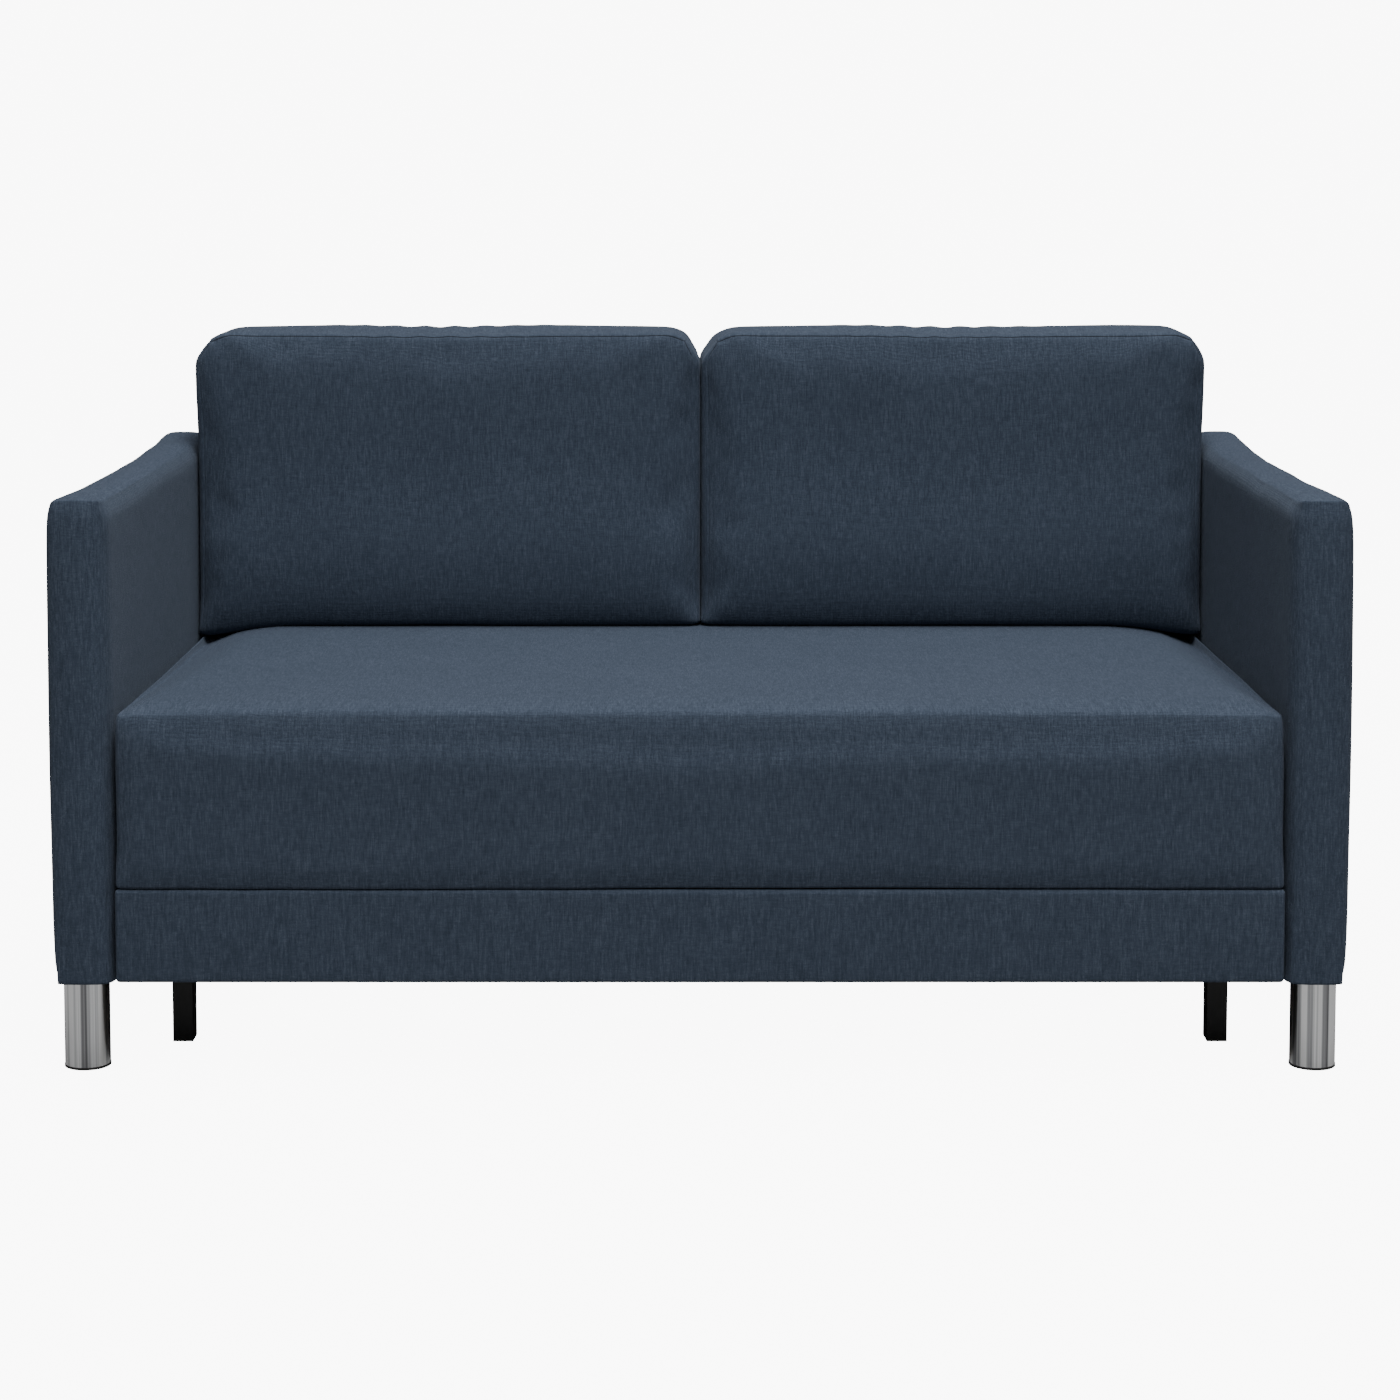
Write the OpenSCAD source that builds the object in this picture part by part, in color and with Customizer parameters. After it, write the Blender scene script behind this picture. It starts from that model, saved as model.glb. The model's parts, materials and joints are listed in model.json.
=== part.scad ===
// Two-seat futon sofa bed: slab arms, a pull-out seat and a folding back that open into a bed.
// Millimetres, +Z up, front towards -Y. Depths are measured back from the front of the arms.

/* [Overall] */
// Clear width between the two arms
inner_w = 1402; // [1360:1:1450]
// Height of the upholstery's underside above the floor
base_z = 111; // [105:1:120]
// Gap between a soft block and the arm beside it
side_gap = 3; // [2:0.5:6]

/* [Arms] */
// Thickness of an arm
arm_t = 74; // [68:1:84]
// Depth of an arm, front to rear
arm_depth = 790; // [785:1:800]
// Height of an arm's top edge
arm_top = 703; // [670:1:720]
// Radius of an arm's long edges
arm_r = 14; // [8:1:24]
// Thickness of the padding around an arm's timber frame
arm_pad = 15; // [12:1:18]
// Width of the timber rails and posts inside an arm
timber_w = 50; // [40:1:60]

/* [Chrome legs] */
// Diameter of a chrome leg
leg_d = 55; // [45:1:60]
// Distance of a front leg's centre behind the front
front_leg_at = 42; // [40:1:70]
// Distance of a rear leg's centre behind the front
rear_leg_at = 735; // [700:1:740]
// Distance of a leg's centre outside the arm's middle
leg_shift = 4; // [0:1:4]
// Thickness of the glide under a leg
glide_h = 3; // [2:0.5:6]

/* [Seat] */
// Depth of the pull-out seat
seat_depth = 780; // [760:1:782]
// Height of the seat's top face
seat_top = 445; // [430:1:450]
// Height of the seam between the seat block and the apron
seam_z = 225; // [222:1:230]
// Radius of the seat block's edges
seat_r = 12; // [6:1:20]
// Thickness of the padded apron
apron_t = 14; // [12:1:16]
// Thickness of the timber rail behind the apron
apron_rail_t = 22; // [18:1:24]
// Gap between the seat block and the apron's top edge
seam_gap = 3; // [2:0.5:5]

/* [Pull-out supports] */
// Width of a black leg
post_w = 25; // [20:1:30]
// Depth of a black leg
post_d = 30; // [25:1:30]
// Distance of a black leg's centre from the middle of the sofa
post_x = 643; // [620:0.5:650]
// Distance of a black leg's front face behind the front
post_at = 137; // [120:1:180]
// Radius of a roller at the rear of the seat
roller_r = 30; // [25:1:35]
// Width of a roller
roller_w = 22; // [18:1:24]
// Distance of a roller's axle behind the front
roller_at = 700; // [650:1:710]

/* [Folding back] */
// Depth from a section's lying face to its pivots, which is also the radius of its rounded end
section_q = 100; // [95:1:105]
// Distance between a section's two pivots along the section
section_len = 440; // [420:1:445]
// Distance between a section's frame line and the fold pivot beside it
fold_off = 27.5; // [27:0.5:30]
// Side of the square steel bars of the sections and the seat
bar = 30; // [28:1:30]
// Thickness of a slat
slat_t = 10; // [8:1:10]
// Width of a slat
slat_w = 55; // [45:1:60]
// Half of a section's width
section_x = 687; // [680:1:687]

/* [Hinges] */
// Radius of a pivot pin
pin_r = 6; // [5:0.5:6]
// Radius of a fold hinge's pin
fold_pin_r = 5; // [4:0.5:5]
// Outer radius of a fold hinge's eye
eye_r = 11; // [10:0.5:11]
// Radial clearance of a running fit
fit = 0.05; // [0.02:0.01:0.09]
// Thickness of a link plate or bracket plate
plate_t = 5; // [4:1:5]
// Radius of a leg of the folding support
stand_r = 9; // [7:0.5:9]
// Distance of a folding support's leg from the middle of the sofa
support_x = 570; // [520:1:575]
// Height of the foot under a folding support's leg
foot_h = 8; // [5:1:10]

/* [Back cushions] */
// Height of a cushion's top edge
cushion_top = 862; // [840:1:870]
// Thickness of a cushion, front to rear
cushion_t = 148; // [130:1:160]
// Width of a cushion
cushion_w = 694; // [680:1:698]
// Radius of a cushion's edges
cushion_r = 26; // [15:1:40]

/* [Hidden] */

$fn = 48;
half_in = inner_w / 2;
half_soft = half_in - side_gap;
leg_x = half_in + arm_t / 2 + leg_shift;

// Pivots, as depth behind the front and height: seat link, fold and main hinge
link_at = seat_depth + 1 + section_q;
fold_at = link_at + fold_off;
main_at = fold_at + fold_off;
pivot_z = seat_top - section_q;
fold_z = pivot_z + section_len;
// Lowest point of the folded support: its length is the fold pivot's height over the floor when open
support_z = fold_z - (pivot_z - fold_off);
total_depth = main_at + section_q;

slat_z = seam_z - slat_t;
rail_z = slat_z - bar;
rail_x = post_x - bar / 2;
link_plate_x = section_x + 2;
bracket_x = half_in - 4;
// Distance from a roller's middle to the inner face of its fork
cheek_x = roller_w / 2 + 2;

// Colours
cloth = [0.2, 0.25, 0.32];
timber = [0.8, 0.68, 0.5];
steel = [0.12, 0.12, 0.13];
chrome = [0.85, 0.86, 0.88];
plastic = [0.08, 0.08, 0.08];

// ---- Helpers ----

// Moves children measured from the front of the arms into the part's own frame
module from_front() {
  translate([0, -total_depth / 2, 0]) children();
}

// Draws its children on both sides of the sofa
module both_sides() {
  children();
  mirror([1, 0, 0]) children();
}

// A box from its lowest corner to its highest
module span(low, high) {
  translate(low) cube(high - low);
}

// A rectangle with round corners, from its lowest corner
module round_rect(w, h, r) {
  translate([r, 0]) square([w - 2 * r, h]);
  translate([0, r]) square([w, h - 2 * r]);
  for (x = [r, w - r], y = [r, h - r])
    translate([x, y]) circle(r);
}

// A box whose four edges along depth are round
module slab(low, high, r) {
  size = high - low;
  translate([low[0], high[1], low[2]])
    rotate([90, 0, 0])
      linear_extrude(size[1]) round_rect(size[0], size[2], r);
}

// A rod along X
module rod_x(x0, x1, at, z, r) {
  translate([x0, at, z]) rotate([0, 90, 0]) cylinder(h = x1 - x0, r = r);
}

// Extrudes an outline drawn in depth and height along X
module across(x0, x1) {
  translate([x0, 0, 0])
    rotate([90, 0, 90])
      linear_extrude(x1 - x0) children();
}

// ---- Arms and their legs ----

module arm_cover() {
  color(cloth) from_front() difference() {
    slab([half_in, 0, base_z], [half_in + arm_t, arm_depth, arm_top], arm_r);
    span([half_in + arm_pad, arm_pad, base_z - 1],
         [half_in + arm_t - arm_pad, arm_depth - arm_pad, arm_top - arm_pad]);
  }
}

module arm_frame() {
  x0 = half_in + arm_pad;
  x1 = half_in + arm_t - arm_pad;
  y0 = arm_pad;
  y1 = arm_depth - arm_pad;
  z0 = base_z + 4;
  z1 = arm_top - arm_pad;
  color(timber) from_front() difference() {
    span([x0, y0, z0], [x1, y1, z1]);
    for (k = [0, 1]) {
      bay = (y1 - y0 - 3 * timber_w) / 2;
      bay_y = y0 + timber_w + k * (bay + timber_w);
      span([x0 - 1, bay_y, z0 + timber_w], [x1 + 1, bay_y + bay, z1 - timber_w]);
    }
    for (at = [front_leg_at, rear_leg_at])
      translate([leg_x, at, z0 - 1]) cylinder(h = 36, r = 4);
  }
}

module chrome_leg(at) {
  color(chrome) from_front() translate([leg_x, at, 0]) {
    translate([0, 0, glide_h]) cylinder(h = base_z - glide_h, r = leg_d / 2, $fn = 96);
    translate([0, 0, base_z]) cylinder(h = 30, r = 4);
  }
}

module leg_glides() {
  color(plastic) from_front() both_sides()
    for (at = [front_leg_at, rear_leg_at])
      translate([leg_x, at, 0]) cylinder(h = glide_h, r = leg_d / 2 + 0.5, $fn = 96);
}

module leg_plates() {
  color(steel) from_front() both_sides()
    for (at = [front_leg_at, rear_leg_at])
      difference() {
        span([leg_x - 18, at - 27, base_z], [leg_x + 18, at + 27, base_z + 4]);
        translate([leg_x, at, base_z - 1]) cylinder(h = 6, r = 4);
        for (side = [-1, 1])
          translate([leg_x, at + side * 22, base_z - 1]) cylinder(h = 6, r = 2.5);
      }
}

module leg_plate_screws() {
  color(chrome) from_front() both_sides()
    for (at = [front_leg_at, rear_leg_at], side = [-1, 1])
      translate([leg_x, at + side * 22, base_z]) cylinder(h = 4, r = 2.5);
}

// ---- Fixed rear structure ----

module rear_beam() {
  color(timber) from_front()
    span([-half_in - 2, arm_depth + 6, base_z + 4], [half_in + 2, arm_depth + 56, base_z + 54]);
}

module rear_posts() {
  color(timber) from_front() both_sides()
    span([half_in + 2, arm_depth, base_z + 4], [half_in + 42, arm_depth + 60, pivot_z + 55]);
}

module hinge_brackets() {
  color(steel) from_front() both_sides() difference() {
    across(bracket_x, half_in + 2) difference() {
      union() {
        translate([arm_depth + 4, pivot_z - 35]) square([main_at - arm_depth - 4, 70]);
        translate([main_at, pivot_z]) circle(35);
      }
      translate([main_at, pivot_z]) circle(pin_r);
    }
    for (z = [pivot_z - 20, pivot_z + 20])
      rod_x(bracket_x - 1, half_in + 3, arm_depth + 30, z, 4);
  }
}

module bracket_bolts() {
  color(chrome) from_front() both_sides()
    for (z = [pivot_z - 20, pivot_z + 20])
      rod_x(bracket_x, half_in + 2, arm_depth + 30, z, 4);
}

module main_hinge_pins() {
  color(chrome) from_front() both_sides()
    rod_x(section_x - bar, half_in + 2, main_at, pivot_z, pin_r);
}

// ---- Folding sections, drawn as the middle one stands: its lying face towards the front ----

module side_rails() {
  color(steel) from_front() both_sides() difference() {
    span([section_x - bar, link_at - bar / 2, pivot_z - 25],
         [section_x, link_at + bar / 2, fold_z - 4]);
    rod_x(section_x - bar - 1, section_x + 1, link_at, pivot_z, pin_r + fit);
  }
}

module cross_rails() {
  color(steel) from_front()
    for (z = [pivot_z + 20, (pivot_z + fold_z) / 2, fold_z - 4 - bar])
      span([bar - section_x, link_at - bar / 2, z], [section_x - bar, link_at + bar / 2, z + bar]);
}

module section_slats() {
  step = (fold_z - 4 - slat_w - (pivot_z - 20)) / 4;
  color(timber) from_front()
    for (k = [0:4])
      span([-section_x, link_at - bar / 2 - slat_t, pivot_z - 20 + k * step],
           [section_x, link_at - bar / 2, pivot_z - 20 + k * step + slat_w]);
}

module section_mattress() {
  under = bar / 2 + slat_t;
  color(cloth) from_front() across(-section_x, section_x) difference() {
    union() {
      translate([link_at, pivot_z]) circle(section_q, $fn = 96);
      translate([link_at - section_q, pivot_z]) square([section_q, section_len - 4]);
    }
    translate([link_at - under, pivot_z - 2 * section_q])
      square([3 * section_q, section_len + 4 * section_q]);
  }
}

// One fold hinge leaf and its eye, with the eye between two distances from the middle
module fold_leaf(x0, x1) {
  color(steel) from_front() both_sides() difference() {
    union() {
      span([x0, link_at + bar / 2, fold_z - 50], [x1, link_at + bar / 2 + 4, fold_z]);
      rod_x(x0, x1, fold_at, fold_z, eye_r);
    }
    rod_x(x0 - 1, x1 + 1, fold_at, fold_z, fold_pin_r + fit);
  }
}

// Turns the middle section's shape into the rear section's
module rear_side() {
  translate([0, fold_off * 2 + (link_at - total_depth / 2) * 2, 0]) mirror([0, 1, 0]) children();
}

module fold_pins() {
  color(chrome) from_front() both_sides()
    rod_x(support_x - 14, 646, fold_at, fold_z, fold_pin_r);
}

// ---- Support that hangs from the fold and stands on the floor when the bed is open ----

module middle_support_legs() {
  color(steel) from_front() both_sides() difference() {
    union() {
      rod_x(support_x - 10, support_x + 10, fold_at, fold_z, eye_r - 0.5);
      translate([support_x, fold_at, support_z + foot_h])
        cylinder(h = fold_z - support_z - 2 * foot_h, r = stand_r);
    }
    rod_x(support_x - 11, support_x + 11, fold_at, fold_z, fold_pin_r + fit);
  }
}

module middle_support_bar() {
  inner = support_x - stand_r;
  color(steel) from_front() rod_x(-inner, inner, fold_at, support_z + 60, 6);
}

module middle_support_feet() {
  color(plastic) from_front() both_sides()
    translate([support_x, fold_at, support_z]) cylinder(h = foot_h, r = stand_r + 1);
}

// ---- Pull-out seat ----

module seat_side_rails() {
  color(steel) from_front() both_sides()
    span([rail_x, apron_t + apron_rail_t + bar, rail_z], [rail_x + bar, seat_depth - 40, slat_z]);
}

module seat_cross_rails() {
  wide = half_soft - apron_t;
  color(steel) from_front() {
    span([-wide, apron_t + apron_rail_t, rail_z], [wide, apron_t + apron_rail_t + bar, slat_z]);
    span([-link_plate_x, seat_depth - 40, rail_z], [link_plate_x, seat_depth - 10, slat_z]);
    for (k = [1, 2])
      span([-rail_x, k * seat_depth / 3, rail_z], [rail_x, k * seat_depth / 3 + bar, slat_z]);
  }
}

module seat_slats() {
  first = apron_t + apron_rail_t + 4;
  step = (seat_depth - 12 - slat_w - first) / 8;
  color(timber) from_front()
    for (k = [0:8])
      span([-section_x, first + k * step, slat_z], [section_x, first + k * step + slat_w, seam_z]);
}

module seat_mattress() {
  color(cloth) from_front()
    slab([-half_soft, 0, seam_z], [half_soft, seat_depth, seat_top], seat_r);
}

module apron_panel() {
  color(cloth) from_front()
    span([-half_soft, 0, base_z], [half_soft, apron_t, seam_z - seam_gap]);
}

module apron_rail() {
  color(timber) from_front()
    span([apron_t - half_soft, apron_t, base_z + 8],
         [half_soft - apron_t, apron_t + apron_rail_t, seam_z - slat_t]);
}

module apron_side_panels() {
  color(cloth) from_front() both_sides()
    span([half_soft - apron_t, apron_t, base_z], [half_soft, roller_at, seam_z - slat_t]);
}

module black_leg() {
  color(steel) from_front()
    span([post_x - post_w / 2, post_at, glide_h], [post_x + post_w / 2, post_at + post_d, rail_z]);
}

module black_leg_caps() {
  color(plastic) from_front() both_sides()
    span([post_x - post_w / 2, post_at, 0], [post_x + post_w / 2, post_at + post_d, glide_h]);
}

module roller_cheeks() {
  color(steel) from_front() both_sides() difference() {
    for (side = [-1, 1])
      span([post_x + side * (cheek_x + 2) - 2, roller_at - 14, roller_r - 12],
           [post_x + side * (cheek_x + 2) + 2, roller_at + 14, rail_z - 4]);
    rod_x(post_x - 30, post_x + 30, roller_at, roller_r, 4);
  }
}

module roller_fork_tops() {
  color(steel) from_front() both_sides()
    span([post_x - cheek_x - 4, roller_at - 14, rail_z - 4],
         [post_x + cheek_x + 4, roller_at + 14, rail_z]);
}

module roller_axles() {
  half = cheek_x + 4;
  color(chrome) from_front() both_sides()
    rod_x(post_x - half, post_x + half, roller_at, roller_r, 4);
}

module roller() {
  color(plastic) from_front() difference() {
    rod_x(post_x - roller_w / 2, post_x + roller_w / 2, roller_at, roller_r, roller_r);
    rod_x(post_x - roller_w, post_x + roller_w, roller_at, roller_r, 4 + fit);
  }
}

module seat_link_plates() {
  foot = seat_depth - 40;
  color(steel) from_front() both_sides()
    across(link_plate_x, link_plate_x + plate_t) difference() {
      union() {
        polygon([
          [foot, rail_z], [foot + 30, rail_z], [link_at + 14, pivot_z - 12],
          [link_at - 15, pivot_z + 12], [seat_depth + 3, seam_z - 4], [foot, seam_z - 4]
        ]);
        translate([link_at, pivot_z]) circle(18);
      }
      translate([link_at, pivot_z]) circle(pin_r);
    }
}

module seat_link_pins() {
  color(chrome) from_front() both_sides()
    rod_x(section_x - bar, link_plate_x + plate_t, link_at, pivot_z, pin_r);
}

// ---- Back cushions, standing on the seat against the middle section ----

module back_cushion() {
  rear = link_at - section_q - 2;
  low_z = seat_top + 1;
  inner = half_soft - cushion_w;
  color(cloth) from_front()
    slab([inner, rear - cushion_t, low_z], [inner + cushion_w, rear, cushion_top], cushion_r);
}

arm_cover();  // arm_right_cover
mirror([1, 0, 0]) arm_cover();  // arm_left_cover
arm_frame();  // arm_right_frame
mirror([1, 0, 0]) arm_frame();  // arm_left_frame
chrome_leg(front_leg_at);  // front_leg_right
mirror([1, 0, 0]) chrome_leg(front_leg_at);  // front_leg_left
chrome_leg(rear_leg_at);  // rear_leg_right
mirror([1, 0, 0]) chrome_leg(rear_leg_at);  // rear_leg_left
leg_glides();
leg_plates();
leg_plate_screws();
rear_beam();
rear_posts();
hinge_brackets();
bracket_bolts();
main_hinge_pins();
rear_side() side_rails();  // rear_side_rails
rear_side() cross_rails();  // rear_cross_rails
rear_side() section_slats();  // rear_slats
rear_side() section_mattress();  // rear_mattress
rear_side() fold_leaf(622, 642);  // rear_fold_leaves
side_rails();  // middle_side_rails
cross_rails();  // middle_cross_rails
section_slats();  // middle_slats
section_mattress();  // middle_mattress
fold_leaf(600, 620);  // middle_fold_leaves
fold_pins();
middle_support_legs();
middle_support_bar();
middle_support_feet();
seat_side_rails();
seat_cross_rails();
seat_slats();
seat_mattress();
apron_panel();
apron_rail();
apron_side_panels();
black_leg();  // black_leg_right
mirror([1, 0, 0]) black_leg();  // black_leg_left
black_leg_caps();
roller_cheeks();
roller_fork_tops();
roller_axles();
roller();  // roller_right
mirror([1, 0, 0]) roller();  // roller_left
seat_link_plates();
seat_link_pins();
back_cushion();  // back_cushion_right
mirror([1, 0, 0]) back_cushion();  // back_cushion_left
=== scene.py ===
import itertools
import json
import math

import bpy
import numpy as np
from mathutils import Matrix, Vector


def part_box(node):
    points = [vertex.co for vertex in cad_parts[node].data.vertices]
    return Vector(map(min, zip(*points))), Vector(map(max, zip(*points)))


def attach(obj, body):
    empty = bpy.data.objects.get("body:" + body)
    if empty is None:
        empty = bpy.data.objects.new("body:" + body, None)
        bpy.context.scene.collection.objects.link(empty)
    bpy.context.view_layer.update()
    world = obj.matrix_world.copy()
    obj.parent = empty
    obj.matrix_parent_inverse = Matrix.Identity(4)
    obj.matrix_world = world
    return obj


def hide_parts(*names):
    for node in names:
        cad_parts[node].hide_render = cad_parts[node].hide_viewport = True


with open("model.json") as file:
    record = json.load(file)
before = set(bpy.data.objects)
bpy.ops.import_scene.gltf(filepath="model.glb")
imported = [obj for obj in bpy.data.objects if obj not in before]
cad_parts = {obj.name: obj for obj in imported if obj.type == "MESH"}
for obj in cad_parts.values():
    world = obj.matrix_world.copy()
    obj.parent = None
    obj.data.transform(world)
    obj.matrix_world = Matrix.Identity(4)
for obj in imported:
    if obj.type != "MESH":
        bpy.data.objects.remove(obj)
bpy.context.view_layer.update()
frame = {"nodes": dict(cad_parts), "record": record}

FRONT_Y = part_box("arm_left_cover")[0].y


# ---- Camera, lights and stage ----

CAMERA_BACK = 3.56
CAMERA_HEIGHT = 1.083
CAMERA_TILT = 4.75
LENS = 78.0
SENSOR = 36
FRAME_SHIFT = -0.2


def make_camera():
    """A long lens almost level with the sofa's arms, looking slightly down."""
    data = bpy.data.cameras.new("camera")
    camera = bpy.data.objects.new("camera", data)
    bpy.context.scene.collection.objects.link(camera)
    data.lens = LENS
    data.sensor_width = SENSOR
    data.shift_y = FRAME_SHIFT
    camera.location = (0, FRONT_Y - CAMERA_BACK, CAMERA_HEIGHT)
    camera.rotation_euler = (math.radians(90 - CAMERA_TILT), 0, 0)
    bpy.context.scene.camera = camera


def area_light(name, place, target, size, power):
    data = bpy.data.lights.new(name, "AREA")
    data.shape = "RECTANGLE"
    data.size, data.size_y = size
    data.energy = power
    light = bpy.data.objects.new(name, data)
    bpy.context.scene.collection.objects.link(light)
    light.location = place
    light.rotation_mode = "QUATERNION"
    light.rotation_quaternion = (Vector(target) - Vector(place)).to_track_quat("-Z", "Y")


SKY_STRENGTH = 0.41
BACKDROP_GLOW = 9.0


def make_lights():
    """Name, place, what it points at, width and height, and power of each light, then a soft sky."""
    area_light("key", (0.6, -3.7, 6.3), (0, -0.1, 0.4), (3.0, 1.8), 345)
    area_light("top", (0.4, -0.5, 6.0), (0, -0.2, 0), (3.0, 1.6), 240)
    area_light("right_fill", (3.4, -1.4, 1.3), (0.7, -0.4, 0.4), (0.5, 1.8), 1)
    area_light("left_fill", (-3.6, -1.7, 1.3), (-0.7, -0.4, 0.4), (0.5, 1.8), 0.5)
    area_light("front", (0.8, -5.0, 2.4), (0, -0.4, 0.45), (2.4, 1.2), 19)
    area_light("left_strip", (-2.2, -4.2, 0.9), (-0.7, -0.5, 0.1), (0.12, 1.6), 2)
    area_light("right_strip", (1.5, -4.6, 0.9), (0.7, -0.5, 0.1), (0.16, 1.6), 2)
    world = bpy.data.worlds.new("studio")
    world.use_nodes = True
    n = Nodes(world.node_tree)
    direction = n.add("ShaderNodeTexCoord").outputs["Generated"]
    split = n.add("ShaderNodeSeparateXYZ")
    n.link(direction, split.inputs[0])
    sky = n.ramp(split.outputs["Z"], [(0.0, (0.10, 0.10, 0.10)), (0.5, (0.34, 0.34, 0.35)),
                                      (1.0, (0.8, 0.8, 0.8))])
    background = world.node_tree.nodes["Background"]
    n.link(sky, background.inputs["Color"])
    background.inputs["Strength"].default_value = SKY_STRENGTH
    bpy.context.scene.world = world


def make_floor():
    """A pale floor that sweeps up into a backdrop behind the sofa."""
    half, reach, bend, rise, steps = 9.0, 5.0, 2.5, 6.0, 12
    outline = [(-half, 0.0), (reach, 0.0)]
    for k in range(1, steps + 1):
        a = k / steps * math.pi / 2
        outline.append((reach + bend * math.sin(a), bend - bend * math.cos(a)))
    outline.append((reach + bend, rise))
    verts = [(x, y, z) for y, z in outline for x in (-half, half)]
    faces = [(2 * k, 2 * k + 1, 2 * k + 3, 2 * k + 2) for k in range(len(outline) - 1)]
    floor = mesh_object("floor", verts, faces)
    material, shader, n = new_material("floor_paint")
    shader.inputs["Roughness"].default_value = 0.8
    shader.inputs["Emission Color"].default_value = (1, 1, 1, 1)
    # the floor looks bright, but lights the sofa from below only as a grey floor would
    seen = n.add("ShaderNodeLightPath").outputs["Is Camera Ray"]
    n.link(n.maths("MULTIPLY", seen, BACKDROP_GLOW), shader.inputs["Emission Strength"])
    shader.inputs["Base Color"].default_value = (0.28, 0.28, 0.28, 1)
    floor.data.materials.append(material)


# ---- Materials ----

def new_material(name):
    material = bpy.data.materials.new(name)
    material.use_nodes = True
    shader = material.node_tree.nodes["Principled BSDF"]
    return material, shader, Nodes(material.node_tree)


class Nodes:
    """Short calls for the node graphs below."""

    def __init__(self, tree):
        self.tree = tree
        self.place = None

    def add(self, kind, **settings):
        node = self.tree.nodes.new(kind)
        for key, value in settings.items():
            setattr(node, key, value)
        return node

    def link(self, a, b):
        self.tree.links.new(a, b)

    def coords(self):
        if self.place is None:
            self.place = self.add("ShaderNodeTexCoord").outputs["Object"]
        return self.place

    def scaled(self, scale):
        """The object's own coordinates, times a scale for each axis."""
        node = self.add("ShaderNodeVectorMath", operation="MULTIPLY")
        self.link(self.coords(), node.inputs[0])
        node.inputs[1].default_value = scale
        return node.outputs[0]

    def noise(self, scale, detail=2.0, rough=0.5):
        node = self.add("ShaderNodeTexNoise")
        node.inputs["Scale"].default_value = 1.0
        node.inputs["Detail"].default_value = detail
        node.inputs["Roughness"].default_value = rough
        self.link(self.scaled(scale), node.inputs["Vector"])
        return node.outputs["Fac"]

    def maths(self, operation, a, b):
        node = self.add("ShaderNodeMath", operation=operation)
        for slot, value in zip(node.inputs, (a, b)):
            if isinstance(value, (int, float)):
                slot.default_value = value
            else:
                self.link(value, slot)
        return node.outputs[0]

    def ramp(self, factor, stops):
        node = self.add("ShaderNodeValToRGB")
        while len(node.color_ramp.elements) < len(stops):
            node.color_ramp.elements.new(0.5)
        for element, (place, colour) in zip(node.color_ramp.elements, stops):
            element.position = place
            element.color = (*colour, 1)
        self.link(factor, node.inputs["Fac"])
        return node.outputs["Color"]

    def bump(self, shader, height, strength, distance):
        node = self.add("ShaderNodeBump")
        node.inputs["Strength"].default_value = strength
        node.inputs["Distance"].default_value = distance
        self.link(height, node.inputs["Height"])
        self.link(node.outputs["Normal"], shader.inputs["Normal"])


def cloth_material(name, shade=1.0):
    """Plain-woven melange cloth: an even weave, with lighter yarns that run down the faces."""
    material, shader, n = new_material(name)
    yarns = [n.noise(s, 2.0, 0.6) for s in ((760, 760, 90), (90, 760, 760), (760, 90, 760))]
    mixed = n.maths("ADD", n.maths("ADD", yarns[0], yarns[1]), yarns[2])
    broad = n.noise((9, 9, 9), 2.0)
    # long light slubs, across X on faces to the front or top and across Y on the sides
    facing = n.add("ShaderNodeSeparateXYZ")
    n.link(n.add("ShaderNodeTexCoord").outputs["Normal"], facing.inputs[0])
    sideways = n.maths("GREATER_THAN", n.maths("ABSOLUTE", facing.outputs["X"], 0), 0.7)
    front_slubs, side_slubs = n.noise((600, 80, 60), 2.0, 0.6), n.noise((80, 600, 60), 2.0, 0.6)
    slubs = n.maths("ADD", n.maths("MULTIPLY", side_slubs, sideways),
                    n.maths("MULTIPLY", front_slubs, n.maths("SUBTRACT", 1.0, sideways)))
    tone = n.maths("ADD", n.maths("MULTIPLY", mixed, 0.22), n.maths("MULTIPLY", broad, 0.04))
    tone = n.maths("ADD", tone, n.maths("MULTIPLY", slubs, 0.35))
    dark, mid, light = (tuple(shade * c for c in rgb) for rgb in (
        (0.027, 0.038, 0.058), (0.041, 0.056, 0.083), (0.072, 0.092, 0.128)))
    n.link(n.ramp(tone, [(0.41, dark), (0.525, mid), (0.66, light)]), shader.inputs["Base Color"])
    waves = n.add("ShaderNodeVectorMath", operation="SINE")
    n.link(n.scaled((5200, 5200, 5200)), waves.inputs[0])
    weave = n.add("ShaderNodeVectorMath", operation="DOT_PRODUCT")
    n.link(waves.outputs[0], weave.inputs[0])
    weave.inputs[1].default_value = (0.2, 0.2, 0.2)
    height = n.maths("ADD", weave.outputs["Value"], n.maths("MULTIPLY", mixed, 1.2))
    n.bump(shader, height, 0.5, 0.0007)
    shader.inputs["Roughness"].default_value = 0.92
    shader.inputs["Specular IOR Level"].default_value = 0.2
    shader.inputs["Sheen Weight"].default_value = 0.10
    shader.inputs["Sheen Roughness"].default_value = 0.45
    shader.inputs["Sheen Tint"].default_value = (0.55, 0.65, 0.8, 1)
    return material


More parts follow.
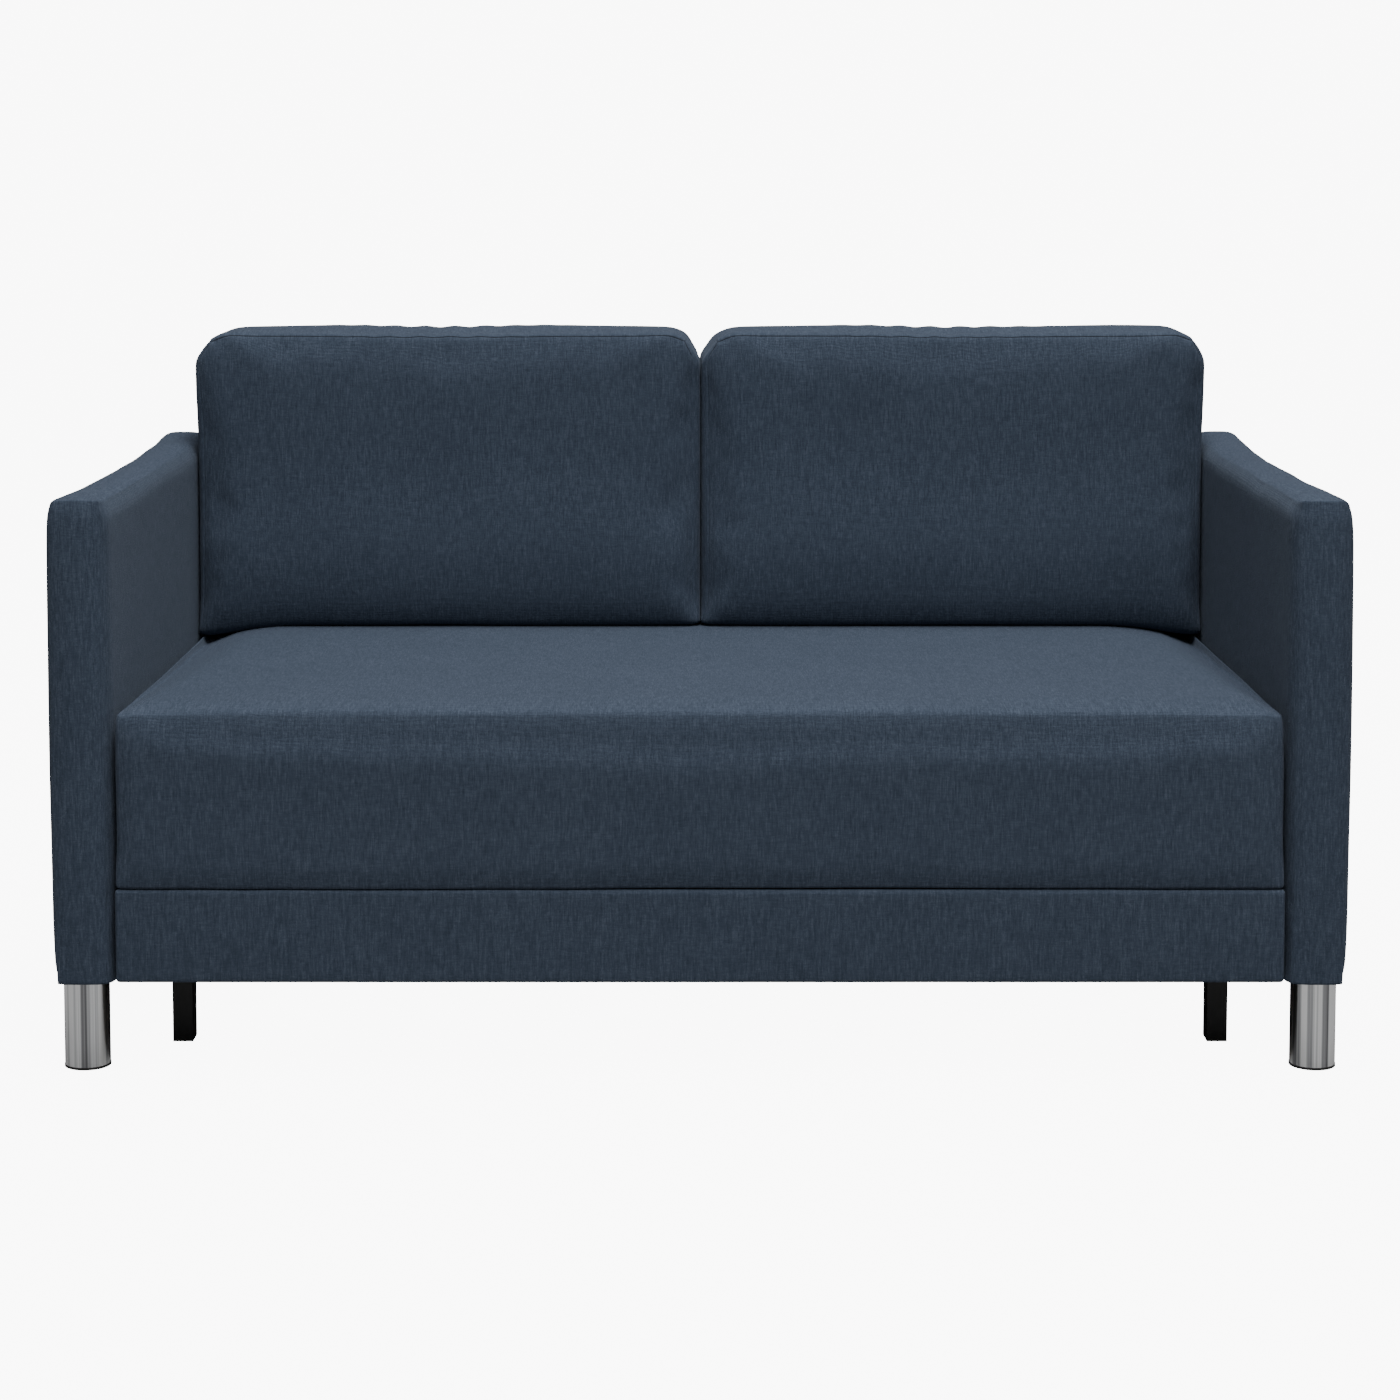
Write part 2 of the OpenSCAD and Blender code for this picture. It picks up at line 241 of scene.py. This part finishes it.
def chrome_material():
    """Bright chrome with painted reflections: long darker and lighter lines in its colour run up the leg,
    standing in for the studio seen in the tube.
    """
    material, shader, n = new_material("chrome_painted_reflection_stripes")
    shader.inputs["Metallic"].default_value = 1.0
    # painted reflection: stripes of dark and bright colour along the tube stand in for reflected
    # surroundings
    lines = n.maths("ADD", n.maths("MULTIPLY", n.noise((85, 85, 0.4), 1.0), 0.75),
                    n.maths("MULTIPLY", n.noise((420, 420, 0.8), 2.0), 0.25))
    tone = n.ramp(lines, [(0.35, (0.08, 0.08, 0.085)), (0.43, (0.34, 0.34, 0.35)),
                          (0.48, (0.66, 0.67, 0.68)), (0.52, (0.97, 0.97, 0.97))])
    n.link(tone, shader.inputs["Base Color"])
    haze = n.maths("ADD", n.maths("MULTIPLY", n.noise((60, 60, 200), 3.0), 0.05), 0.05)
    n.link(haze, shader.inputs["Roughness"])
    return material


def coated_material(name, colour, roughness, grain):
    """Powder coat or moulded plastic, with a fine orange-peel surface."""
    material, shader, n = new_material(name)
    fine = n.noise((grain, grain, grain), 2.0)
    light = tuple(1.7 * c for c in colour)
    n.link(n.ramp(fine, [(0.3, colour), (0.75, light)]), shader.inputs["Base Color"])
    n.link(n.maths("ADD", n.maths("MULTIPLY", fine, 0.15), roughness), shader.inputs["Roughness"])
    n.bump(shader, fine, 0.25, 0.0004)
    return material


def zinc_material():
    material, shader, n = new_material("zinc_plate")
    shader.inputs["Metallic"].default_value = 1.0
    fine = n.noise((220, 220, 220), 3.0)
    n.link(n.ramp(fine, [(0.3, (0.42, 0.43, 0.42)), (0.7, (0.60, 0.60, 0.58))]),
           shader.inputs["Base Color"])
    n.link(n.maths("ADD", n.maths("MULTIPLY", fine, 0.2), 0.25), shader.inputs["Roughness"])
    return material


def timber_material():
    """Pale beech with long grain across the sofa and short dark flecks."""
    material, shader, n = new_material("beech")
    grain = n.noise((2.2, 60, 60), 5.0, 0.6)
    fleck = n.noise((30, 520, 520), 2.0)
    tone = n.maths("ADD", n.maths("MULTIPLY", grain, 0.8), n.maths("MULTIPLY", fleck, 0.2))
    n.link(n.ramp(tone, [(0.3, (0.36, 0.23, 0.12)), (0.5, (0.55, 0.39, 0.22)),
                         (0.7, (0.66, 0.50, 0.31))]), shader.inputs["Base Color"])
    n.link(n.maths("ADD", n.maths("MULTIPLY", grain, 0.2), 0.42), shader.inputs["Roughness"])
    n.bump(shader, tone, 0.2, 0.0005)
    return material


# ---- Mesh helpers ----

def mesh_object(name, verts, faces):
    mesh = bpy.data.meshes.new(name)
    mesh.from_pydata([tuple(v) for v in verts], [], [tuple(f) for f in faces])
    mesh.update()
    piece = bpy.data.objects.new(name, mesh)
    bpy.context.scene.collection.objects.link(piece)
    mesh.shade_smooth()
    return piece


def smooth_noise(points, size, seed):
    """Value noise over an (n, 3) array, from about -1 to 1, with features of the given size."""
    count = 32
    lattice = np.random.RandomState(seed).uniform(-1, 1, (count, count, count))
    q = points / size
    base = np.floor(q).astype(int)
    t = q - base
    t = t * t * (3 - 2 * t)
    total = np.zeros(len(points))
    for corner in itertools.product((0, 1), repeat=3):
        weight = np.prod(np.where(corner, t, 1 - t), axis=1)
        i = (base + corner) % count
        total += weight * lattice[i[:, 0], i[:, 1], i[:, 2]]
    return total


def grid_lines(low, high, radius, step):
    """Places of the grid lines along one axis: even in the middle, closer over the round edges."""
    inner = max(2, round((high - low - 2 * radius) / step))
    edge = 4
    first = low + radius * (1 - np.cos(np.linspace(0, math.pi / 2, edge + 1)[:-1]))
    middle = np.linspace(low + radius, high - radius, inner + 1)
    last = low + high - first[::-1]
    return np.concatenate([first, middle, last])


def box_skin(low, high, radius, step):
    """The closed surface of a round-edged box: (points, outward directions, quads)."""
    low, high = np.array(low), np.array(high)
    lines = [grid_lines(low[a], high[a], radius, step) for a in range(3)]
    size = [len(line) for line in lines]
    index, points, quads = {}, [], []

    def vertex(key):
        if key not in index:
            index[key] = len(points)
            points.append([lines[a][key[a]] for a in range(3)])
        return index[key]

    for axis in range(3):
        u, v = (axis + 1) % 3, (axis + 2) % 3
        for end in (0, size[axis] - 1):
            for i, j in itertools.product(range(size[u] - 1), range(size[v] - 1)):
                quad = []
                for di, dj in ((0, 0), (1, 0), (1, 1), (0, 1)):
                    key = [0, 0, 0]
                    key[axis], key[u], key[v] = end, i + di, j + dj
                    quad.append(vertex(tuple(key)))
                quads.append(quad if end else quad[::-1])
    flat = np.array(points)
    core = np.clip(flat, low + radius, high - radius)
    out = flat - core
    out /= np.linalg.norm(out, axis=1, keepdims=True)
    return core + radius * out, out, quads


def set_points(piece, points):
    piece.data.vertices.foreach_set("co", np.asarray(points, dtype=np.float32).ravel())
    piece.data.update()


def get_points(mesh):
    flat = np.empty(len(mesh.vertices) * 3, dtype=np.float32)
    mesh.vertices.foreach_get("co", flat)
    return flat.reshape(-1, 3).astype(float)


def inflate(piece, held, pressure, cap, frames):
    """Fills a closed cover by cloth simulation, with the points in held fixed, and keeps the result."""
    start = get_points(piece.data)
    group = piece.vertex_groups.new(name="held")
    for k in np.flatnonzero(held > 0.01):
        group.add([int(k)], float(held[k]), "REPLACE")
    cloth = piece.modifiers.new("cloth", "CLOTH")
    settings = cloth.settings
    settings.quality = 5
    settings.mass = 0.4
    settings.tension_stiffness = 40
    settings.compression_stiffness = 25
    settings.shear_stiffness = 12
    settings.bending_stiffness = 1.2
    settings.use_pressure = True
    settings.uniform_pressure_force = pressure
    settings.vertex_group_mass = "held"
    settings.effector_weights.gravity = 0
    cloth.collision_settings.use_collision = False
    scene = bpy.context.scene
    cloth.point_cache.frame_start = 1
    cloth.point_cache.frame_end = frames
    for k in range(1, frames + 1):
        scene.frame_set(k)
    done = piece.evaluated_get(bpy.context.evaluated_depsgraph_get())
    moved = get_points(done.data) - start
    piece.modifiers.remove(cloth)
    piece.vertex_groups.remove(group)
    scene.frame_set(1)
    length = np.linalg.norm(moved, axis=1, keepdims=True)
    moved *= cap * np.tanh(length / cap) / np.maximum(length, 1e-9)
    set_points(piece, start + moved)


def subdivide(piece):
    """Applies one level of subdivision surface."""
    modifier = piece.modifiers.new("smooth", "SUBSURF")
    modifier.levels = modifier.render_levels = 1
    done = piece.evaluated_get(bpy.context.evaluated_depsgraph_get())
    mesh = bpy.data.meshes.new_from_object(done)
    piece.modifiers.remove(modifier)
    old = piece.data
    piece.data = mesh
    bpy.data.meshes.remove(old)
    mesh.shade_smooth()


def tube(name, path, radius, sides):
    """A round tube with closed ends along a path of points."""
    path = np.array(path)
    count = len(path)
    ahead = np.roll(path, -1, axis=0) - np.roll(path, 1, axis=0)
    ahead[0], ahead[-1] = path[1] - path[0], path[-1] - path[-2]
    ahead /= np.linalg.norm(ahead, axis=1, keepdims=True)
    side = np.cross(ahead, [0.31, 0.17, 0.93])
    side /= np.linalg.norm(side, axis=1, keepdims=True)
    up = np.cross(side, ahead)
    turn = np.linspace(0, 2 * math.pi, sides, endpoint=False)
    verts = [path[k] + radius * (math.cos(a) * side[k] + math.sin(a) * up[k])
             for k in range(count) for a in turn]
    faces = []
    for k in range(count - 1):
        m = k + 1
        for s in range(sides):
            t = (s + 1) % sides
            faces.append((k * sides + s, m * sides + s, m * sides + t, k * sides + t))
    faces.append(tuple(range(sides)))
    faces.append(tuple((count - 1) * sides + s for s in range(sides))[::-1])
    return mesh_object(name, verts, faces)


def joined(name, parts):
    """One object from several, in the first one's place."""
    verts, faces = [], []
    for part in parts:
        base = len(verts)
        verts += [tuple(v.co) for v in part.data.vertices]
        faces += [tuple(base + i for i in p.vertices) for p in part.data.polygons]
        bpy.data.objects.remove(part)
    return mesh_object(name, verts, faces)


def near(values, place, width):
    """1 at a place, falling smoothly to 0 at a width from it."""
    return np.exp(-((values - place) / width) ** 2)


def round_corner(points, axes, corner, radius, small):
    """Rounds an edge more, given each face's place, each signed radius and the small radius it has now."""
    a = (points[:, axes[0]] - corner[0]) / radius[0] + 1
    b = (points[:, axes[1]] - corner[1]) / radius[1] + 1
    far = np.maximum(np.hypot(a, b), 1e-9)
    wide, thin = np.maximum(a, b) / far, np.minimum(a, b) / far
    centre = 1 - 2 * small / (abs(radius[0]) + abs(radius[1]))
    lean = (wide + thin) * centre
    rounded = lean + np.sqrt(np.maximum(lean ** 2 - 2 * centre ** 2 + (1 - centre) ** 2, 0))
    edge = np.where(thin <= centre * wide, 1 / np.maximum(wide, 1e-9), rounded)
    inside = (a > 0) & (b > 0)
    for axis, value, r, place in ((axes[0], a, radius[0], corner[0]), (axes[1], b, radius[1], corner[1])):
        points[:, axis] = np.where(inside, place + r * (value / edge - 1), points[:, axis])


def relax(points, quads, weight, rounds):
    """Moves each point part of the way to its neighbours' mean, by its weight, a few times over."""
    corners = np.array(quads)
    a = corners.ravel()
    b = np.roll(corners, -1, axis=1).ravel()
    count = np.bincount(a, minlength=len(points)) + np.bincount(b, minlength=len(points))
    for _ in range(rounds):
        for axis in range(3):
            total = np.bincount(a, points[b, axis], len(points))
            total += np.bincount(b, points[a, axis], len(points))
            points[:, axis] += weight * (total / count - points[:, axis])


def finish_piece(piece, material, body, nodes=()):
    """Gives a piece its material, the body it rides on and the nodes that it stands for."""
    piece.data.materials.clear()
    piece.data.materials.append(material)
    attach(piece, body)
    if nodes:
        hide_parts(*nodes)


# ---- Materials in use ----

make_camera()
make_floor()
make_lights()

CLOTH = cloth_material("woven_cloth")
# painted shadow: the seam's cloth at 0.3 of the cloth's colour stands for the shade in the cushions' seam
# groove
SEAM_PAINTED_SHADOW = cloth_material("seam_groove_painted_shadow", shade=0.3)
CHROME = chrome_material()
BLACK = coated_material("black_powder_coat", (0.004, 0.004, 0.004), 0.38, 900)
PLASTIC = coated_material("black_moulding", (0.008, 0.008, 0.008), 0.5, 500)
ZINC = zinc_material()
BEECH = timber_material()
BY_SLOT = {"upholstery": CLOTH, "timber": BEECH, "chrome": CHROME, "zinc": ZINC,
           "black_steel": BLACK, "black_plastic": PLASTIC}

for part in frame["record"]["subparts"]:
    mesh = frame["nodes"][part["node"]].data
    mesh.materials.clear()
    mesh.materials.append(BY_SLOT[part["material_slot"]])


# ---- Upholstery ----

ARM_INNER_R = 0.026
ARM_OUTER_R = 0.018
ARM_FRONT_R = 0.024
ARM_FRONT_TOP_R = 0.016
ARM_FRONT_OUTER_R = 0.012
ARM_EDGE_R = 0.004
ARM_SKIN_STEP = 0.0115
ARM_SAG = 0.013
SEAT_EDGE_R = 0.006
SEAT_SIDE_R = 0.020
SEAT_FRONT_R = 0.018
SEAT_CORNER_R = 0.010
SEAT_SKIN_STEP = 0.015
SEAT_CROWN = 0.004
SEAT_FALL = 0.016
SIDE_STRETCH = 0.0012
CUSHION_EDGE_R = 0.012
CUSHION_SKIN_STEP = 0.0125
CUSHION_INSET = (0.0005, 0.004, 0.0025)
LEFT_SHOULDER = (0.050, 0.042)
RIGHT_SHOULDER = (0.042, 0.038)
CUSHION_SHOULDER = 0.028
OUTER_REACH = 0.0012
INNER_REACH = 0.0037
PUCKER_PITCH = 0.042
ABOVE_ARMS_Z = 0.72
SEAM_R = 0.0013
SEAM_SIDES = 6
COVER_CLEARANCE = 0.0004
SECTION_PIVOT_Z = 0.345
SECTION_END_R = 0.1
SECTION_CORNER_R = 0.016
SECTION_WIDER = 0.0085
CHANNEL_PITCH = 0.2748


def seat_fall(across, half):
    """How far the seat's top lies below its crown near the arms, for places across it."""
    return SEAT_FALL * near(np.abs(across), half, 0.080)


def make_arm(side, seed):
    """An arm's cover: flat faces, a rolled top that sags between its ends, and wavy edges."""
    node = f"arm_{side}_cover"
    low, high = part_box(node)
    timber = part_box(f"arm_{side}_frame")[1].z
    low.z -= 0.003
    points, out, quads = box_skin(low, high, ARM_EDGE_R, ARM_SKIN_STEP)
    sign = -1 if side == "left" else 1
    inner_x, outer_x = (high.x, low.x) if side == "left" else (low.x, high.x)
    depth = (points[:, 1] - low.y) / (high.y - low.y)
    height = (points[:, 2] - low.z) / (high.z - low.z)
    outward = np.abs(points[:, 0] - inner_x) / (high.x - low.x)
    round_corner(points, (0, 2), (inner_x, high.z), (-sign * ARM_INNER_R, ARM_INNER_R), ARM_EDGE_R)
    round_corner(points, (0, 2), (outer_x, high.z), (sign * ARM_OUTER_R, ARM_OUTER_R), ARM_EDGE_R)
    round_corner(points, (0, 1), (inner_x, low.y), (-sign * ARM_FRONT_R, -ARM_FRONT_R), ARM_EDGE_R)
    round_corner(points, (0, 1), (outer_x, low.y), (sign * ARM_FRONT_OUTER_R, -ARM_FRONT_OUTER_R),
                 ARM_EDGE_R)
    round_corner(points, (1, 2), (low.y, high.z), (-ARM_FRONT_TOP_R, ARM_FRONT_TOP_R), ARM_EDGE_R)
    piece = mesh_object(f"{node}_fabric", points, quads)
    flat = points.copy()
    inflate(piece, held=1.0 * (height < 0.03), pressure=0.8, cap=0.004, frames=10)
    points = get_points(piece.data)
    outer = np.clip(out[:, 0] * sign, 0, 1)
    # the top rises to the rear, and its outer edge sags and waves
    edge = near(flat[:, 2], high.z, 0.05)
    top = np.clip((height - 0.6) / 0.4, 0, 1) ** 2
    middle = np.sin(np.pi * np.clip(depth, 0, 1)) * outward
    points[:, 2] += top * (-0.0085 + 0.0115 * depth - ARM_SAG * middle)
    points[:, 2] += 0.0020 * edge * smooth_noise(flat * [0, 1, 0], 0.09, seed + 2)
    points += out * (0.0008 * edge * smooth_noise(flat, 0.045, seed))[:, None]
    points += out * (0.0010 * smooth_noise(flat, 0.16, seed + 1))[:, None]
    # the outer face swells a little and is pulled in at its foot
    bulge = outer * 0.002 * np.sin(np.pi * np.clip(height, 0, 1))
    tuck = outer * 0.005 * near(height, 0, 0.03)
    points[:, 0] += sign * (bulge - tuck)
    front_top = near(flat[:, 1], low.y, 0.035) * near(flat[:, 2], high.z, 0.035)
    relax(points, quads, 0.5 * front_top, 6)
    # the cover stays outside the timber in it
    inside = np.minimum(np.abs(points[:, 0]) - abs(inner_x), abs(outer_x) - np.abs(points[:, 0]))
    over = np.clip((inside - 0.003) / 0.010, 0, 1) * (out[:, 2] > 0.3)
    soft, cover = 0.0015, timber + 0.0028
    lifted = cover + soft * np.logaddexp(0, (points[:, 2] - cover) / soft)
    points[:, 2] += over * (lifted - points[:, 2])
    if side == "left":
        points[:, 0] = np.minimum(points[:, 0], high.x - COVER_CLEARANCE)
    else:
        points[:, 0] = np.maximum(points[:, 0], low.x + COVER_CLEARANCE)
    set_points(piece, points)
    subdivide(piece)
    finish_piece(piece, CLOTH, "frame", [node])


def make_seat():
    """The seat block: a crowned top that falls towards the arms, and a soft rolled front edge."""
    low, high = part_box("seat_mattress")
    low.x, high.x = low.x - SIDE_STRETCH, high.x + SIDE_STRETCH
    points, out, quads = box_skin(low, high, SEAT_EDGE_R, SEAT_SKIN_STEP)
    span = high - low
    across = (points[:, 0] - low.x) / span.x
    depth = (points[:, 1] - low.y) / span.y
    height = (points[:, 2] - low.z) / span.z
    round_corner(points, (1, 2), (low.y, high.z), (-SEAT_FRONT_R, SEAT_FRONT_R), SEAT_EDGE_R)
    for side_x, sign in ((low.x, -1), (high.x, 1)):
        round_corner(points, (0, 2), (side_x, high.z), (sign * SEAT_SIDE_R, SEAT_SIDE_R), SEAT_EDGE_R)
        round_corner(points, (0, 1), (side_x, low.y), (sign * SEAT_CORNER_R, -SEAT_CORNER_R),
                     SEAT_EDGE_R)
    piece = mesh_object("seat_fabric", points, quads)
    flat = points.copy()
    held = 1.0 * ((height < 0.05) | (depth > 0.99))
    inflate(piece, held, pressure=1.2, cap=0.005, frames=14)
    points = get_points(piece.data)
    up = np.clip(out[:, 2], 0, 1)
    rear = np.clip((depth - 0.68) / 0.10, 0, 1)
    sink = np.clip((depth - 0.02) / 0.6, 0, 1)
    sink = 0.4 + 0.6 * sink ** 2 * (3 - 2 * sink)
    crown = SEAT_CROWN * np.sin(np.pi * across) * np.sin(np.pi * np.clip(depth * 1.1, 0, 1))
    points[:, 2] += up * (crown - sink * seat_fall(flat[:, 0], high.x) - 0.003 * rear)
    edge = near(flat[:, 2], low.z, 0.04) + near(flat[:, 2], high.z, 0.05)
    front = np.clip(-out[:, 1], 0, 1)
    points += out * (0.0014 * edge * front * smooth_noise(flat, 0.05, 11))[:, None]
    points += out * (0.0016 * smooth_noise(flat, 0.22, 12))[:, None]
    points[:, 0] = np.clip(points[:, 0], low.x, high.x)
    points[:, 1] = np.clip(points[:, 1], low.y - 0.004, high.y)
    points[:, 2] = np.clip(points[:, 2], low.z, high.z + 0.0006)
    set_points(piece, points)
    subdivide(piece)
    finish_piece(piece, CLOTH, "seat", ["seat_mattress"])


def reaches(side, outer, inner):
    """How far a cushion goes past its box: (left, right), outer by the arm and inner by its twin."""
    return (outer, inner) if side == "left" else (inner, outer)


def make_cushion(side, seed):
    """A loose back cushion: a crowned front panel, a seam along its front edge and a puckered top."""
    node = f"back_cushion_{side}"
    low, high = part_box(node)
    seat_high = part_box("seat_mattress")[1].x
    start, end = low + Vector(CUSHION_INSET), high - Vector(CUSHION_INSET)
    start.z = low.z
    points, out, quads = box_skin(start, end, CUSHION_EDGE_R, CUSHION_SKIN_STEP)
    plain = points.copy()
    span = end - start
    across = (plain[:, 0] - start.x) / span.x
    height = (plain[:, 2] - start.z) / span.z
    wide, tall = LEFT_SHOULDER
    round_corner(points, (0, 2), (start.x, end.z), (-wide, tall), CUSHION_EDGE_R)
    round_corner(points, (0, 2), (end.x, end.z), RIGHT_SHOULDER, CUSHION_EDGE_R)
    piece = mesh_object(f"{node}_fabric", points, quads)
    flat = points.copy()
    held = 1.0 * ((height < 0.02) | (out[:, 1] > 0.95) & (np.abs(height - 0.5) < 0.3))
    inflate(piece, held, pressure=1.8, cap=0.008, frames=16)
    points = get_points(piece.data)
    front = np.clip(-out[:, 1], 0, 1)
    top = np.clip(out[:, 2], 0, 1)
    # the top stays flatter than the front
    points[:, 2] -= top * 0.55 * (points[:, 2] - flat[:, 2])
    # the top edge dips a little over the middle and puckers there
    middle = near(across, 0.48, 0.16)
    points[:, 2] -= top * middle * (0.0030 + 0.0020 * np.sin(flat[:, 0] * 2 * math.pi / PUCKER_PITCH))
    folds = near(flat[:, 2], end.z - 0.03, 0.06) * front
    points[:, 1] -= folds * 0.0014 * smooth_noise(flat * [1, 1, 0.35], 0.03, seed)
    points += out * (0.0014 * smooth_noise(flat, 0.12, seed + 1))[:, None]
    # the side panels hang straight below the shoulders, so the two cushions meet
    below = np.clip((end.z - CUSHION_SHOULDER - plain[:, 2]) / 0.010, 0, 1)
    below *= np.abs(out[:, 0]) > 0.6
    to_left, to_right = reaches(side, OUTER_REACH, INNER_REACH)
    face_x = np.where(out[:, 0] < 0, low.x - to_left, high.x + to_right)
    points[:, 0] += below * np.abs(out[:, 0]) ** 4 * (face_x - points[:, 0])
    # the outer side swells over the arm beside it
    sign = -1 if side == "left" else 1
    outside = np.clip(sign * out[:, 0], 0, 1)
    swell = 0.004 * near(plain[:, 2], end.z - 0.07, 0.05)
    points[:, 0] += sign * outside * swell
    # the seam between the front panel and the boxing runs in a shallow groove
    rim = np.abs(np.abs(out[:, 1]) - np.maximum(np.abs(out[:, 0]), out[:, 2])) < 0.02
    rim &= (out[:, 1] < -0.4) & (out[:, 2] > -0.1)
    points -= out * (0.0016 * rim)[:, None]
    # the foot is nearly square where the cushion stands on the seat, and swells forward over it
    foot = np.clip(1 - height / 0.07, 0, 1)
    points[:, 0] += np.sign(out[:, 0]) * 0.006 * np.abs(out[:, 0]) * foot
    points[:, 1] -= front * 0.012 * near(height, 0.22, 0.25)
    points[:, 2] -= 0.004 * foot * (1 - np.clip(-out[:, 2], 0, 1))
    to_left, to_right = reaches(side, np.where(plain[:, 2] > ABOVE_ARMS_Z, 0.0022, 0.0014), INNER_REACH)
    points[:, 0] = np.clip(points[:, 0], low.x - to_left, high.x + to_right)
    # the two cushions' facing sides curve alike, so that nothing shows between them
    facing = np.clip(-sign * out[:, 0], 0, 1)
    points[:, 0] += 0.0016 * facing * np.sin(2 * math.pi * (flat[:, 1] - start.y) / span.y)
    points[:, 1] = np.clip(points[:, 1], low.y - 0.02, high.y + 0.001)
    points[:, 2] = np.clip(points[:, 2], low.z - 0.0004, high.z + 0.004)
    # and it follows the seat down beside the arm
    points[:, 2] -= 0.9 * seat_fall(plain[:, 0], seat_high) * np.clip(1 - height / 0.18, 0, 1)
    set_points(piece, points)
    # a dark tube of the seam cloth, darkened as painted shadow for the groove, lies along the bottom of the
    # groove and ends inside the corners
    points -= out * 0.005 * np.clip((0.93 - height) / 0.04, 0, 1)[:, None]
    low_rim = rim & (np.abs(out[:, 0]) > 0.6) & (out[:, 2] < 0.3) & (height > 0.89)
    left, right = low_rim & (out[:, 0] < 0), low_rim & (out[:, 0] > 0)
    over = rim & (out[:, 2] > 0.6)
    points += out * (0.0006 * rim)[:, None]
    path = np.concatenate([points[left][np.argsort(plain[left][:, 2])],
                           points[over][np.argsort(plain[over][:, 0])],
                           points[right][np.argsort(-plain[right][:, 2])]])
    # painted shadow: this dark tube stands in for the shade inside the seam's groove
    seam = tube(f"{node}_seam", path, SEAM_R, SEAM_SIDES)
    subdivide(seam)
    subdivide(piece)
    finish_piece(seam, SEAM_PAINTED_SHADOW, f"cushion_{side}")
    finish_piece(piece, CLOTH, f"cushion_{side}", [node])


def make_apron():
    """The padded strip under the seat block."""
    low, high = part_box("apron_panel")
    low.x, high.x = low.x - SIDE_STRETCH, high.x + SIDE_STRETCH
    high.z += 0.0022
    points, out, quads = box_skin(low, high, 0.005, 0.012)
    flat = points.copy()
    front = np.clip(-out[:, 1], 0, 1)
    points[:, 1] -= front * (0.0012 + 0.0010 * smooth_noise(flat, 0.09, 21))
    piece = mesh_object("apron_panel_fabric", points, quads)
    subdivide(piece)
    finish_piece(piece, CLOTH, "seat", ["apron_panel"])


def make_apron_sides():
    """The thin cloth-covered boards at both ends of the apron, as one piece."""
    low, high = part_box("apron_side_panels")
    board = high.x - abs(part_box("apron_rail")[1].x)
    parts = []
    for x0, x1 in ((low.x, low.x + board), (high.x - board, high.x)):
        points, _, quads = box_skin((x0, low.y, low.z), (x1, high.y, high.z), 0.004, 0.02)
        parts.append(mesh_object("side", points, quads))
    piece = joined("apron_side_panels_fabric", parts)
    finish_piece(piece, CLOTH, "seat", ["apron_side_panels"])


def make_section(which, body, face):
    """A folding section's thin mattress, round at its pivot end. face is -1 where it lies to the front."""
    node = f"{which}_mattress"
    low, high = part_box(node)
    pivot_z, full, corner = SECTION_PIVOT_Z, SECTION_END_R, SECTION_CORNER_R
    foam = high.y - low.y
    # outline of the mattress from the side: (distance from its slats, height)
    steps = np.linspace(0, 1, 14)
    start = math.asin(min(1.0, (full - foam) / full))
    arc = [(full * math.sin(a) - (full - foam), pivot_z - full * math.cos(a))
           for a in start + steps * (math.pi / 2 - start)]
    side = [(foam, z) for z in np.linspace(pivot_z, high.z - corner, 30)[1:]]
    top = [(foam - corner + corner * math.cos(a), high.z - corner + corner * math.sin(a))
           for a in np.linspace(0, math.pi / 2, 5)[1:]]
    over = [(d, high.z) for d in np.linspace(foam - corner, 0, 5)[1:]]
    back = [(0, z) for z in np.linspace(high.z, arc[0][1], 30)[1:-1]]
    outline = np.array(arc + side + top + over + back)
    lines = np.concatenate([np.array([0, 0.002, 0.006, 0.012]),
                            np.linspace(0.02, high.x - low.x - 0.02, 96),
                            high.x - low.x - np.array([0.012, 0.006, 0.002, 0])]) + low.x
    centre = np.array([foam / 2, (low.z + high.z) / 2])
    verts = []
    for k, x in enumerate(lines):
        rim = min(x - low.x, high.x - x)
        pull = 0.010 * math.exp(-rim / 0.006)
        for d, z in outline:
            away = np.array([d, z]) - centre
            keep = 1 - pull / max(np.abs(away).max(), 0.02)
            d2, z2 = centre + away * keep
            verts.append((x, d2, z2))
    verts = np.array(verts)
    # the face is a little uneven, with shallow lines where it is sewn through
    panel = verts[:, 1] > foam * 0.8
    verts[:, 1] += panel * (0.0018 * smooth_noise(verts, 0.14, 31 + face)
                            - 0.0016 * (np.cos((verts[:, 0] - low.x) / CHANNEL_PITCH * 2 * math.pi) > 0.995))
    # wider than the steel frame above the hinges, where nothing passes beside it
    clear = np.clip((verts[:, 2] - pivot_z - 0.035) / 0.04, 0, 1)
    verts[:, 0] *= 1 + SECTION_WIDER / high.x * clear
    edge_y = high.y if face < 0 else low.y
    verts[:, 1] = edge_y + face * np.clip(verts[:, 1], 0, foam - 0.0005)
    ring = len(outline)
    faces = []
    for k in range(len(lines) - 1):
        for s in range(ring):
            t = (s + 1) % ring
            faces.append((k * ring + s, k * ring + t, (k + 1) * ring + t, (k + 1) * ring + s))
    faces.append(tuple(range(ring))[::-1])
    faces.append(tuple((len(lines) - 1) * ring + s for s in range(ring)))
    if face > 0:
        faces = [f[::-1] for f in faces]
    piece = mesh_object(f"{node}_fabric", verts, faces)
    finish_piece(piece, CLOTH, body, [node])


make_arm("left", 1)
make_arm("right", 5)
make_seat()
make_apron()
make_apron_sides()
make_cushion("left", 41)
make_cushion("right", 41)
make_section("middle", "middle_section", -1)
make_section("rear", "rear_section", 1)
